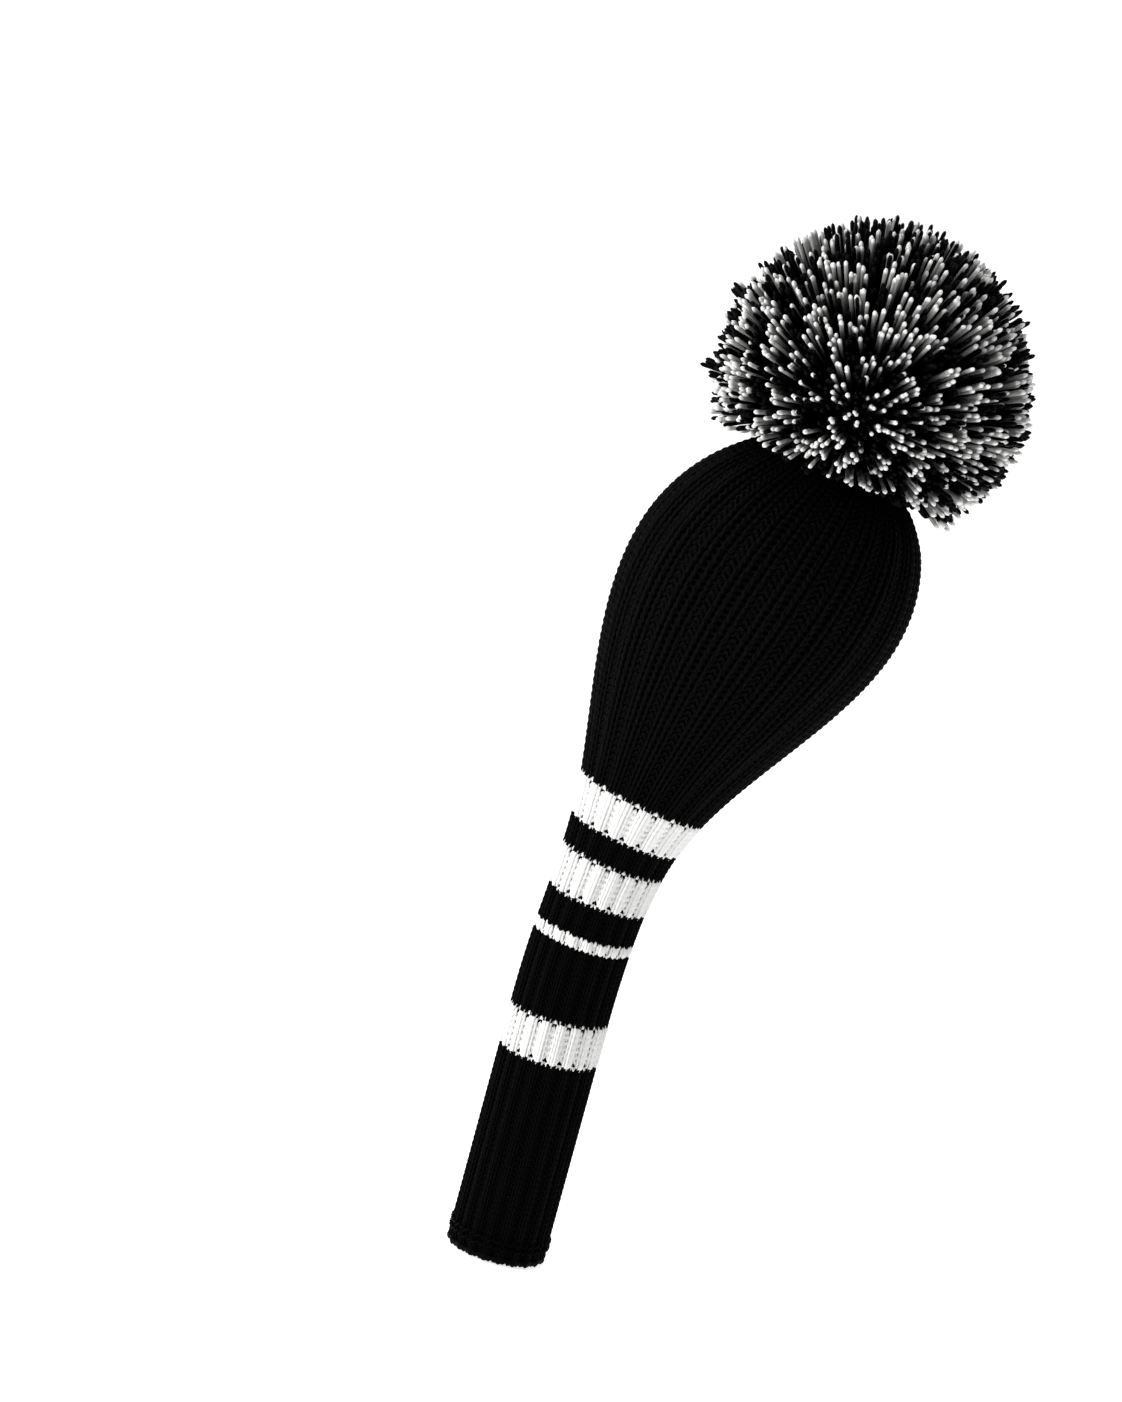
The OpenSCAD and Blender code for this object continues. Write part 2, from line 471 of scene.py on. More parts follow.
def grid_uv(lengths: np.ndarray, columns: int) -> np.ndarray:
    """Gives the corners of grid_faces their yarn coordinates.

    Args:
        lengths: Distance along the yarn at each ring and past the last one, by path.
        columns: Points in each ring.

    Returns:
        An array of paths, rows, columns, corners and two coordinates.
    """
    low, high = lengths[:, :-1, None], lengths[:, 1:, None]
    left = np.broadcast_to(np.arange(columns) / columns, (*low.shape[:2], columns))
    right = left + 1 / columns
    low, high = np.broadcast_to(low, left.shape), np.broadcast_to(high, left.shape)
    corners = [(low, left), (low, right), (high, right), (high, left)]
    return np.stack([np.stack(c, -1) for c in corners], -2)


def sweep(
    parts: MeshParts,
    paths: np.ndarray,
    radius: np.ndarray,
    outward: np.ndarray,
    sides: int,
    closed: bool,
) -> None:
    """Sweeps round yarns along many paths at once and adds them to a mesh.

    Args:
        parts: Where the faces go.
        paths: Centre points, by path and step.
        radius: The yarn's radius at each of them.
        outward: A direction across the yarn at each of them.
        sides: Points round the yarn.
        closed: True if each path is a ring; otherwise its two ends are capped, and the yarn
            coordinate is 0 at the second one.
    """
    if closed:
        tangent = unit(np.roll(paths, -1, 1) - np.roll(paths, 1, 1))
    else:
        tangent = unit(np.gradient(paths, axis=1))
    side = unit(np.cross(tangent, outward))
    up = np.cross(side, tangent)
    angle = np.arange(sides) / sides * FULL_TURN
    ring = up[:, :, None] * np.cos(angle)[:, None] + side[:, :, None] * np.sin(angle)[:, None]
    points = paths[:, :, None] + ring * radius[:, :, None, None]
    count, steps = paths.shape[:2]
    run = np.concatenate([paths, paths[:, :1]], 1) if closed else paths
    gaps = np.linalg.norm(np.diff(run, axis=1), axis=2)
    lengths = np.concatenate([np.zeros((count, 1)), np.cumsum(gaps, 1)], 1)
    if not closed:
        lengths -= lengths[:, -1:]
    quads = grid_faces(steps, sides, closed)
    uv = grid_uv(lengths, sides)
    if closed:
        every = quads[None] + (np.arange(count) * steps * sides)[:, None, None]
        parts.add(points, every.reshape(-1, 4), uv)
        return
    ends = np.stack([paths[:, 0], paths[:, -1] + tangent[:, -1] * radius[:, -1:]], 1)
    block = np.concatenate([points.reshape(count, -1, 3), ends], 1)
    size = steps * sides + 2
    ring_now = np.arange(sides)
    ring_next = (ring_now + 1) % sides
    last = (steps - 1) * sides
    foot = np.stack([ring_next, ring_now, np.full(sides, size - 2)], -1)
    tip = np.stack([last + ring_now, last + ring_next, np.full(sides, size - 1)], -1)
    tris = np.concatenate([foot, tip])
    shift = (np.arange(count) * size)[:, None, None]
    tri_uv = np.zeros((count, len(tris), 3, 2))
    at_foot = np.arange(len(tris))[:, None] < sides
    tri_uv[..., 0] = np.where(at_foot, lengths[:, :1, None], lengths[:, -1:, None])
    tri_uv[..., 1] = (np.tile(ring_now, 2) / sides)[None, :, None]
    quads, tris = (quads[None] + shift).reshape(-1, 4), (tris[None] + shift).reshape(-1, 3)
    parts.add(block, quads, uv, tris, tri_uv)


# ---------------------------------------------------------------- the sock's form
def cad_edge(node: str, corner: int, axis: int) -> float:
    """Reads one coordinate of a CAD node's box.

    Args:
        node: The node's name.
        corner: 0 for the box's low corner and 1 for its high one.
        axis: 0 for X, 1 for Y and 2 for Z.

    Returns:
        The coordinate, to the nearest micrometre.
    """
    return round(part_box(node)[corner][axis], 6)


def half_depth(node: str) -> float:
    """Half of a CAD node's size from front to back."""
    return (cad_edge(node, 1, 1) - cad_edge(node, 0, 1)) / 2


@dataclass(frozen=True)
class SockForm:
    """The centre line and cross-sections that every layer of the sock follows."""

    cuff_len: float = cad_edge("white_band_4", 0, 2)
    white_4_len: float = cad_edge("black_band_3", 0, 2) - cad_edge("white_band_4", 0, 2)
    black_3_len: float = 34.2 * MM
    white_3_len: float = 5.3 * MM
    black_2_len: float = 15.5 * MM
    white_2_len: float = 16 * MM
    black_1_len: float = 14.5 * MM
    white_1_len: float = 15.5 * MM
    neck_r: float = cad_edge("black_cuff", 1, 0)
    throat_r: float = 28.2 * MM
    throat_slope: float = 0.29
    head_r: float = 59.1 * MM
    head_half_depth: float = half_depth("head_knit")
    cone_len: float = 106.5 * MM
    dome_h: float = 68 * MM
    head_shift: float = 8 * MM
    shift_after_throat: float = 6 * MM
    shift_before_crown: float = 24 * MM
    shift_power: float = 1.6
    crown_return: float = 8 * MM
    crown_return_len: float = 12 * MM
    crown_lean: float = math.radians(5.5)
    neck_turn: float = math.radians(11)
    head_turn: float = math.radians(6)
    probe: float = 0.4 * MM
    probe_turn: float = 0.01

    @property
    def marks(self) -> list[float]:
        """Stations of the bands' edges, from the hem to the throat.

        Returns:
            Nine distances along the centre line.
        """
        lengths = (
            self.cuff_len, self.white_4_len, self.black_3_len, self.white_3_len,
            self.black_2_len, self.white_2_len, self.black_1_len, self.white_1_len,
        )
        return [0.0, *np.cumsum(lengths).tolist()]

    @property
    def bend_from(self) -> float:
        """Where the centre line starts to curve."""
        return self.marks[2]

    @property
    def flare_from(self) -> float:
        """Where the neck starts to widen."""
        return self.marks[4]

    @property
    def throat(self) -> float:
        """Where the head starts."""
        return self.marks[8]

    @property
    def wide(self) -> float:
        """Station of the widest place."""
        return self.throat + self.cone_len

    @property
    def crown(self) -> float:
        """Station of the crown."""
        return self.wide + self.dome_h

    @property
    def head_share(self) -> float:
        """The head's depth as a share of its width."""
        return self.head_half_depth / self.head_r

    @property
    def dome_path(self) -> float:
        """Length over the knit from the widest place to the crown."""
        return math.pi / 2 * math.hypot(self.head_r, self.dome_h) / math.sqrt(2)

    @property
    def arcs(self) -> tuple[float, float]:
        """Radii of the two arcs of the centre line."""
        low_r = (self.throat - self.bend_from) / self.neck_turn
        return low_r, (self.crown - self.throat) / self.head_turn

    def turn(self, s: np.ndarray) -> np.ndarray:
        """Finds the centre line's heading.

        Args:
            s: Stations along it.

        Returns:
            Its angle from +Z towards +X, in radians.
        """
        low = np.clip((s - self.bend_from) / (self.throat - self.bend_from), 0, 1)
        high = np.maximum((s - self.throat) / (self.crown - self.throat), 0)
        return self.neck_turn * low + self.head_turn * high

    def centre(self, s: np.ndarray) -> np.ndarray:
        """Finds points of the centre line.

        Args:
            s: Stations along it.

        Returns:
            The points.
        """
        s = np.asarray(s, float)
        low_r, high_r = self.arcs
        turn = self.turn(s)
        low = np.minimum(turn, self.neck_turn)
        x = low_r * (1 - np.cos(low)) + high_r * (np.cos(low) - np.cos(turn))
        z = np.minimum(s, self.bend_from) + low_r * np.sin(low) + high_r * (np.sin(turn) - np.sin(low))
        return np.stack([x, np.zeros_like(x), z], -1)

    @staticmethod
    def smooth(t: np.ndarray) -> np.ndarray:
        """Smooth step from 0 to 1."""
        t = np.clip(t, 0, 1)
        return t * t * (3 - 2 * t)

    @staticmethod
    def ease(
        t: np.ndarray, ends: tuple[float, float], slopes: tuple[float, float], length: float
    ) -> np.ndarray:
        """Follows a cubic that has a given height and slope at each end.

        Args:
            t: Share of the way along it.
            ends: The two heights.
            slopes: The two slopes.
            length: The distance from end to end.

        Returns:
            The heights.
        """
        t = np.clip(t, 0, 1)
        rise = 3 * t * t - 2 * t**3
        bulge = slopes[0] * (t - 2 * t * t + t**3) + slopes[1] * (t**3 - t * t)
        return ends[0] * (1 - rise) + ends[1] * rise + length * bulge

    def width(self, s: np.ndarray) -> np.ndarray:
        """Finds the half-width of the sock's outside, up to the widest place.

        Args:
            s: Stations along the centre line.

        Returns:
            The half-widths.
        """
        flare = self.throat - self.flare_from
        along_neck, along_cone = (s - self.flare_from) / flare, (s - self.throat) / self.cone_len
        neck = self.ease(along_neck, (self.neck_r, self.throat_r), (0, self.throat_slope), flare)
        head = self.ease(along_cone, (self.throat_r, self.head_r), (self.throat_slope, 0), self.cone_len)
        return np.where(s <= self.throat, neck, head)

    def depth(self, s: np.ndarray) -> np.ndarray:
        """Depth of a section as a share of its width."""
        t = self.smooth((s - self.flare_from) / (self.wide - self.flare_from))
        return 1 - (1 - self.head_share) * t

    def shift(self, s: np.ndarray) -> np.ndarray:
        """Finds how far sections stand off the centre line.

        Args:
            s: Stations along the centre line.

        Returns:
            The distances, towards +X.
        """
        first, last = self.throat + self.shift_after_throat, self.crown - self.shift_before_crown
        out = self.head_shift * np.clip((s - first) / (last - first), 0, 1) ** self.shift_power
        return out - self.crown_return * self.smooth((s - self.crown) / self.crown_return_len + 1)

    def section(self, way: np.ndarray, lift: np.ndarray) -> tuple[np.ndarray, ...]:
        """Finds the sections at distances up the knit.

        Args:
            way: Distance up the knit from the hem, over the dome as well.
            lift: Height over the outer surface.

        Returns:
            Station, half-width, half-depth and shift.
        """
        way, lift = np.broadcast_arrays(np.asarray(way, float), np.asarray(lift, float))
        angle = np.clip((way - self.wide) / self.dome_path, 0, 1) * math.pi / 2
        s = np.where(way <= self.wide, way, self.wide + (self.dome_h + lift) * np.sin(angle))
        flat = np.minimum(way, self.wide)
        share = np.where(way <= self.wide, self.depth(flat), self.head_share)
        wide = self.width(flat)
        close = np.cos(angle)
        shift = self.shift(np.where(way <= self.wide, way, self.wide + self.dome_h * np.sin(angle)))
        return s, (wide + lift) * close, (wide * share + lift) * close, shift

    def place(self, way: np.ndarray, angle: np.ndarray, lift: np.ndarray) -> np.ndarray:
        """Finds points on or under the knit.

        Args:
            way: Distance up the knit from the hem.
            angle: Angle round the section, 0 at +X.
            lift: Height over the outer surface.

        Returns:
            The points.
        """
        s, wide, deep, shift = self.section(way, lift)
        turn = self.turn(s)
        across = np.stack([np.cos(turn), np.zeros_like(turn), -np.sin(turn)], -1)
        out = (shift + wide * np.cos(angle))[..., None] * across
        out[..., 1] += deep * np.sin(angle)
        return self.centre(s) + out

    def outward(self, way: np.ndarray, angle: np.ndarray) -> np.ndarray:
        """Finds which way is out of the knit.

        Args:
            way: Distance up the knit from the hem.
            angle: Angle round the section, 0 at +X.

        Returns:
            Unit vectors.
        """
        up = self.place(way + self.probe, angle, 0) - self.place(way - self.probe, angle, 0)
        ahead = self.place(way, angle + self.probe_turn, 0)
        behind = self.place(way, angle - self.probe_turn, 0)
        return unit(np.cross(ahead - behind, up))

    def girth(self, way: np.ndarray) -> np.ndarray:
        """Length once round the section."""
        _, wide, deep, _ = self.section(way, 0)
        return FULL_TURN * np.sqrt((wide**2 + deep**2) / 2)

    @property
    def pole(self) -> Vector:
        """The middle of the gathered crown.

        Returns:
            The point.
        """
        turn = float(self.turn(self.crown))
        shift = float(self.shift(self.crown))
        return Vector(self.centre(self.crown)) + shift * Vector((math.cos(turn), 0, -math.sin(turn)))

    @property
    def pole_frame(self) -> Matrix:
        """Matrix that puts a piece on the crown, its own +Z along the pom's axis."""
        lean = float(self.turn(self.crown)) - self.crown_lean
        return Matrix.Translation(self.pole) @ Matrix.Rotation(lean, 4, "Y")


def from_crown(points: np.ndarray) -> np.ndarray:
    """Moves points from the crown's own frame to the sock's."""
    matrix = np.array(FORM.pole_frame)
    return points @ matrix[:3, :3].T + matrix[:3, 3]


def to_crown(points: np.ndarray) -> np.ndarray:
    """Moves points from the sock's frame to the crown's own."""
    inverse = np.array(FORM.pole_frame.inverted())
    return points @ inverse[:3, :3].T + inverse[:3, 3]


def bend_across_neck(piece: bpy.types.Object) -> None:
    """Bakes a piece of the wide black band in place, on no body.

    Args:
        piece: The piece.
    """
    low, high = FORM.marks[2], FORM.marks[3]
    tuple(FORM.centre(low))
    tuple(FORM.centre(high))
    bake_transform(piece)


def settle(
    piece: bpy.types.Object, body: Body | None, node: str | None = None
) -> bpy.types.Object:
    """Hides the CAD node that a piece stands for, and puts the piece on its body.

    Args:
        piece: The piece.
        body: The body it rides on, or None to bake it in place on no body.
        node: The CAD node that it stands for, if it stands for one.

    Returns:
        The same piece.
    """
    if node is not None:
        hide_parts(node)
    if body is None:
        bend_across_neck(piece)
    else:
        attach(piece, body.value)
    return piece


FORM = SockForm()
STRAND_END_ROOM = 1 * MM
POM_RADIUS = half_depth("pom_white_yarn") - STRAND_END_ROOM
POM_RISE = 28 * MM
# Painted shade for the pom's strands, centred on the ball.
POM_SHADE = DepthShade(tuple(FORM.pole_frame @ Vector((0, 0, POM_RISE))), POM_RADIUS)
FINISHES = {
    "black": YarnFinish(
        "black_yarn", (0.0024, 0.0024, 0.0027), (0.0003, 0.0003, 0.0004), sheen=0.0, specular=0.022,
        roughness=0.5,
    ),
    "white": YarnFinish(
        "white_yarn", (0.87, 0.868, 0.86), (0.78, 0.775, 0.765), sheen=0.03, ply_share=0.15,
        fibre_share=0.1, bump=0.12,
    ),
    "lining": YarnFinish(
        "lining_yarn", (0.008, 0.008, 0.009), (0.003, 0.003, 0.0035), sheen=0.0, specular=0.03
    ),
    # The pom's yarns, with painted shade (POM_SHADE) in their colour.
    "pom_black": YarnFinish(
        "pom_black_yarn", (0.0034, 0.0034, 0.0038), (0.001, 0.001, 0.0012), sheen=0.0, specular=0.04,
        roughness=0.45, shade=POM_SHADE,
    ),
    "pom_white": YarnFinish(
        "pom_white_yarn", (0.9, 0.9, 0.89), (0.78, 0.775, 0.76), sheen=0.05, shade=POM_SHADE
    ),
    "cord": YarnFinish("tie_cord", (0.13, 0.13, 0.135), (0.05, 0.05, 0.052)),
    "button": ButtonFinish(),
    "floor": FloorFinish(),
}


# ---------------------------------------------------------------- knit
@dataclass(frozen=True)
class RibStitch:
    """A 2x1 rib: two raised knit wales, then a recessed purl one, all of them round the sock."""

    wales: int = 60
    repeat: int = 3
    samples: int = 12
    sides: int = 6
    yarn_share: float = 0.235
    thickest: float = 1.4 * MM
    loop_height: float = 0.84
    loop_lean: float = 0.13
    rib_neck: float = 0.75 * MM
    rib_head: float = 0.5 * MM
    full_stretch: float = 1.2
    depth_share: float = 0.62
    face_change: float = 8
    base_lift: float = -1.1 * MM
    wander: float = 0.03
    tuck: float = 0.2
    sag: float = 0.04
    sag_waves: int = 3
    web_points: int = 4
    web_rows: int = 2
    fewest_web_rows: int = 4

    def face(self, across: np.ndarray) -> np.ndarray:
        """Tells knit wales from purl ones.

        Args:
            across: Place along the row, in wales.

        Returns:
            1 on a knit wale and -1 on a purl one, with a quick change between them.
        """
        spot = np.mod(across, self.repeat)
        spot = np.where(spot < 1, spot + self.repeat, spot)
        from_purl = np.abs(spot - (self.repeat - 0.5)) - 0.5
        return np.clip(from_purl * self.face_change, -1, 1)

    def rib(self, across: np.ndarray) -> np.ndarray:
        """Wave of the rib round the sock, 1 at its ridge and -1 in its groove."""
        return np.cos(FULL_TURN * (across - 1) / self.repeat)

    def angle(self, way: np.ndarray, across: np.ndarray) -> np.ndarray:
        """Angle round the sock of a place in the row; the purl wale tucks in where the knit is wide.

        Args:
            way: Distance up the knit.
            across: Place along the row, in wales.

        Returns:
            The angle, in radians.
        """
        tucked = self.tuck * self.stretch(way) * np.sin(FULL_TURN * (across - 1) / self.repeat)
        return (across + tucked) / self.wales * FULL_TURN

    def stretch(self, way: np.ndarray) -> np.ndarray:
        """How far the knit is pulled wide, from 0 in the neck to 1 at the head."""
        wide = FORM.girth(np.minimum(way, FORM.wide)) / (FULL_TURN * FORM.neck_r)
        return np.clip((wide - 1) / self.full_stretch, 0, 1)

    def yarn(self, way: np.ndarray) -> np.ndarray:
        """Radius of the yarn, which is squeezed where the wales crowd."""
        wale = FORM.girth(way) / self.wales
        return np.minimum(self.yarn_share * wale, self.thickest)

    def relief(self, way: np.ndarray) -> np.ndarray:
        """Finds the depth of the rib, which is less where the knit is stretched.

        Args:
            way: Distance up the knit.

        Returns:
            The depth.
        """
        stretch = self.stretch(way)
        crowded = np.clip(FORM.girth(way) / (FULL_TURN * FORM.neck_r), 0, 1)
        return (self.rib_neck * (1 - stretch) + self.rib_head * stretch) * crowded

    def courses(self, parts: MeshParts, start: float, end: float, rows: int, seed: int) -> None:
        """Lays rows of loops between two distances up the knit.

        Args:
            parts: Where the yarn goes.
            start: Distance of the first row's foot.
            end: Distance of the last row's head.
            rows: How many rows.
            seed: For the loops' small unevenness.
        """
        draws = np.random.default_rng(seed)
        pitch = (end - start) / rows
        step = np.arange(self.wales * self.samples) / self.samples
        phase = np.mod(step, 1) * FULL_TURN
        middle = start + (np.arange(rows)[:, None] + 0.5) * pitch
        size = 1 + self.wander * draws.normal(size=(rows, self.wales)).repeat(self.samples, 1)
        across = step + self.loop_lean * np.sin(2 * phase) * size
        way = middle - self.loop_height * pitch * np.cos(phase) * size
        round_it = FULL_TURN * self.sag_waves * step / self.wales
        way = way + self.sag * pitch * np.sin(round_it + middle / pitch)
        radius = self.yarn(way)
        depth = self.depth_share * radius
        lift = self.base_lift + self.relief(way) * self.rib(across)
        lift = lift - depth * self.face(step) * np.cos(2 * phase)
        angle = self.angle(way, across)
        paths = FORM.place(way, angle, lift)
        outward = FORM.outward(way, angle)
        sweep(parts, paths, radius, outward, self.sides, closed=True)

    def backing(self, parts: MeshParts, start: float, end: float, rows: int, sink: float) -> None:
        """Adds the web of yarn that shows between the loops.

        Args:
            parts: Where it goes.
            start: Distance of its lower edge.
            end: Distance of its upper edge.
            rows: Rows of loops that it spans.
            sink: How far it lies under the outer surface.
        """
        around = self.wales * self.web_points
        rings = max(rows * self.web_rows, self.fewest_web_rows) + 1
        step = np.arange(around) / self.web_points
        way = np.linspace(start, end, rings)[:, None]
        lift = -sink + self.relief(way) * self.rib(step)
        angle = self.angle(np.broadcast_to(way, lift.shape), np.broadcast_to(step, lift.shape))
        points = FORM.place(np.broadcast_to(way, angle.shape), angle, lift)
        lengths = np.broadcast_to(way.T, (1, rings))
        parts.add(points, grid_faces(rings, around, False), grid_uv(lengths, around))


@dataclass
class Band:
    """A run of the outer knit in one yarn."""

    name: str
    finish: str
    slot: Slot
    start: float
    end: float
    rows: int
    body: Body | None
    stitch: RibStitch
    split: int = 1
    web_sink: float = 2.2 * MM

    def build(self) -> list[bpy.types.Object]:
        """Knits the band, in as many pieces as split says, and puts each in its place.

        Returns:
            The pieces.
        """
        made = []
        cuts = [round(self.rows * k / self.split) for k in range(self.split + 1)]
        pitch = (self.end - self.start) / self.rows
        for index, (first, last) in enumerate(zip(cuts, cuts[1:])):
            parts = MeshParts()
            low, high = self.start + first * pitch, self.start + last * pitch
            self.stitch.courses(parts, low, high, last - first, SEED + self.rows + index)
            self.stitch.backing(parts, low, high, last - first, self.web_sink)
            name = f"{self.name}_loops" + (f"_{index + 1}" if self.split > 1 else "")
            made.append(settle(parts.build(name, self.finish), self.body, self.name))
        return made


@dataclass
class OuterKnit:
    """All the bands of the outer layer, from the hem to the crown."""

    row_neck: float = 2.62 * MM
    row_head: float = 3.0 * MM
    stitch: RibStitch = field(default_factory=RibStitch)
    tall_stitch: RibStitch = field(
        default_factory=lambda: RibStitch(
            yarn_share=0.3, loop_height=0.5, loop_lean=0.1, depth_share=0.45
        )
    )
    white_stitch: RibStitch = field(
        default_factory=lambda: RibStitch(
            yarn_share=0.28, loop_height=1.1, loop_lean=0.1, depth_share=0.6, rib_neck=0.95 * MM
        )
    )
    hem_gap: float = 1.2 * MM
    crown_gap: float = 5.5 * MM
    cuff_pieces: int = 2
    head_pieces: int = 4

    def bands(self) -> list[Band]:
        """Sets out the bands of the cuff and the neck.

        Returns:
            The bands, from the hem up.
        """
        marks = FORM.marks
        names = (
            ("black_cuff", Body.CUFF), ("white_band_4", Body.CUFF), ("black_band_3", None),
            ("white_band_3", Body.SOCK), ("black_band_2", Body.SOCK), ("white_band_2", Body.SOCK),
            ("black_band_1", Body.SOCK), ("white_band_1", Body.SOCK),
        )
        bands = []
        for index, (name, body) in enumerate(names):
            cuff, narrow = name == "black_cuff", name == "white_band_3"
            start, end = marks[index] + (self.hem_gap if cuff else 0), marks[index + 1]
            rows = 1 if narrow else round((end - start) / self.row_neck)
            split = self.cuff_pieces if cuff else 1
            if name.startswith("white"):
                stitch = self.tall_stitch if narrow else self.white_stitch
                band = Band(name, "white", Slot.WHITE, start, end, rows, body, stitch)
            else:
                band = Band(name, "black", Slot.BLACK, start, end, rows, body, self.stitch, split)
            bands.append(band)
        return bands

    def head(self) -> Band:
        """Sets out the black knit over the club head.

        Returns:
            The band.
        """
        top = FORM.wide + FORM.dome_path - self.crown_gap
        rows = round((top - FORM.throat) / self.row_head)
        return Band(
            "head_knit", "black", Slot.BLACK, FORM.throat, top, rows, Body.SOCK, self.stitch,
            self.head_pieces,
        )

    def build(self) -> list[bpy.types.Object]:
        """Knits every band and returns its pieces."""
        return [piece for band in [*self.bands(), self.head()] for piece in band.build()]


@dataclass
class Lining:
    """The inner layer of knit, one piece for each of its CAD nodes."""

    sink: float = 2.75 * MM
    thick: float = 1.3 * MM
    ridges: int = 60
    ridge_points: int = 4
    relief: float = 0.22 * MM
    row: float = 2.6 * MM
    row_points: int = 4
    fewest_rings: int = 8
    hem_gap: float = 0.4 * MM
    crown_gap: float = 7 * MM
    flat_neck: float = 116 * MM
    flat_throat: float = 140 * MM
    flat_head: float = 260 * MM

    def tube(self, node: str, start: float, end: float, body: Body | None) -> bpy.types.Object:
        """Builds one closed tube of inner knit, with stitches on the side that shows.

        Args:
            node: The CAD node that it stands for.
            start: Distance of its lower edge up the knit.
            end: Distance of its upper edge.
            body: The body it rides on, or None to bake it in place on no body.

        Returns:
            The piece.
        """
        around = self.ridges * self.ridge_points
        rows = max(round((end - start) / self.row) * self.row_points, self.fewest_rings)
        way = np.linspace(start, end, rows + 1)[:, None]
        hidden = np.linspace(start, end, rows // self.row_points + 1)[:, None]
        angle = np.arange(around) / around * FULL_TURN
        waves = np.cos(angle * self.ridges) * np.cos(way / self.row * FULL_TURN)
        inner = -self.sink - self.thick - self.relief * waves
        outer = np.full((len(hidden), around), -self.sink)
        ways = np.concatenate([hidden, way[::-1]])
        lifts = np.concatenate([outer, inner[::-1]])
        angles = np.broadcast_to(angle, lifts.shape)
        points = FORM.place(np.broadcast_to(ways, lifts.shape), angles, lifts)
        parts = MeshParts()
        count = len(ways)
        lengths = np.arange(count + 1)[None] * self.row / self.row_points
        parts.add(points, grid_faces(count, around, True), grid_uv(lengths, around))
        piece = settle(parts.build(f"{node}_knit", "lining"), body, node)
        return piece

    def build(self) -> list[bpy.types.Object]:
        """Builds the four tubes of the lining.

        Returns:
            The pieces.
        """
        marks = FORM.marks
        top = FORM.wide + FORM.dome_path - self.crown_gap
        return [
            self.tube("cuff_lining", self.hem_gap, marks[2], Body.CUFF),
            self.tube("bend_lining", marks[2], marks[3], None),
            self.tube("neck_lining", marks[3], marks[8], Body.SOCK),
            self.tube("head_lining", marks[8], top, Body.SOCK),
        ]


@dataclass
class Hem:
    """The turned edge of the cuff and its two rounds of chain stitch."""

    heights: tuple[float, float] = (7 * MM, 10 * MM)
    links: int = 44
    link_points: int = 12
    link_height: float = 0.75 * MM
    link_cross: float = 0.34
    thread_r: float = 0.3 * MM
    thread_sides: int = 6
    thread_lift: float = 0.45 * MM
    thread_dip: float = 0.3 * MM
    fold_r: float = 2.0 * MM
    fold_rings: int = 12
    fold_lift: float = -1.9 * MM
    fold_turns: tuple[float, float] = (-0.15, 1.15)
    fold_rib: float = 0.35 * MM
    fold_wale: float = 0.18 * MM

    def stitches(self) -> bpy.types.Object:
        """Sews the two rounds of chain stitch.

        Returns:
            The piece.
        """
        parts = MeshParts()
        step = np.arange(self.links * self.link_points) / self.link_points
        phase = np.mod(step, 1) * FULL_TURN
        across = (step + self.link_cross * np.sin(phase * 2)) / self.links * FULL_TURN
        for height in self.heights:
            way = height + self.link_height * np.sin(phase)[None]
            lift = self.thread_lift + self.thread_dip * np.cos(phase)[None]
            paths = FORM.place(way, across[None], lift)
            outward = FORM.outward(way, across[None])
            radius = np.full(way.shape, self.thread_r)
            sweep(parts, paths, radius, outward, self.thread_sides, closed=True)
        piece = parts.build("hem_chain_stitch", "black")
        return settle(piece, Body.CUFF, "hem_stitch")

    def fold(self) -> bpy.types.Object:
        """Rolls the cuff's edge from the outer layer to the inner one.

        Returns:
            The piece.
        """
        stitch = RibStitch()
        around = stitch.wales * stitch.web_points
        step = np.arange(around) / stitch.web_points
        turns = np.linspace(*self.fold_turns, self.fold_rings)[:, None] * math.pi
        ridge = self.fold_rib * stitch.rib(step) + self.fold_wale * np.cos(FULL_TURN * step)
        thick = self.fold_r + ridge
        lift = self.fold_lift + thick * np.cos(turns)
        way = np.maximum(self.fold_r - thick * np.sin(turns), 0.0)
        angle = np.broadcast_to(step / stitch.wales * FULL_TURN, lift.shape)
        points = FORM.place(way, angle, lift)
        parts = MeshParts()
        lengths = np.arange(self.fold_rings)[None] * MM
        parts.add(points, grid_faces(self.fold_rings, around, False), grid_uv(lengths, around))
        return settle(parts.build("hem_fold", "black"), Body.CUFF)

    def build(self) -> list[bpy.types.Object]:
        """Builds the hem and returns its pieces."""
        return [self.fold(), self.stitches()]


# ---------------------------------------------------------------- crown and tie
@dataclass(frozen=True)
class PliedCord:
    """A few plies laid up round each other along the crown's axis."""

    name: str
    node: str
    body: Body
    low: float
    high: float
    radius: float
    lay_share: float
    ply_share: float
    plies: int
    turns: float
    points: int = 40

    def paths(self) -> np.ndarray:
        """Lays the plies up.

        Returns:
            Points in the crown's frame, ply by ply.
        """
        z = np.linspace(self.low, self.high, self.points)
        start = np.arange(self.plies)[:, None] / self.plies * FULL_TURN
        angle = start + (z - self.low)[None] / (self.high - self.low) * self.turns * FULL_TURN
        lay = self.radius * self.lay_share
        return np.stack([lay * np.cos(angle), lay * np.sin(angle), np.broadcast_to(z, angle.shape)], -1)


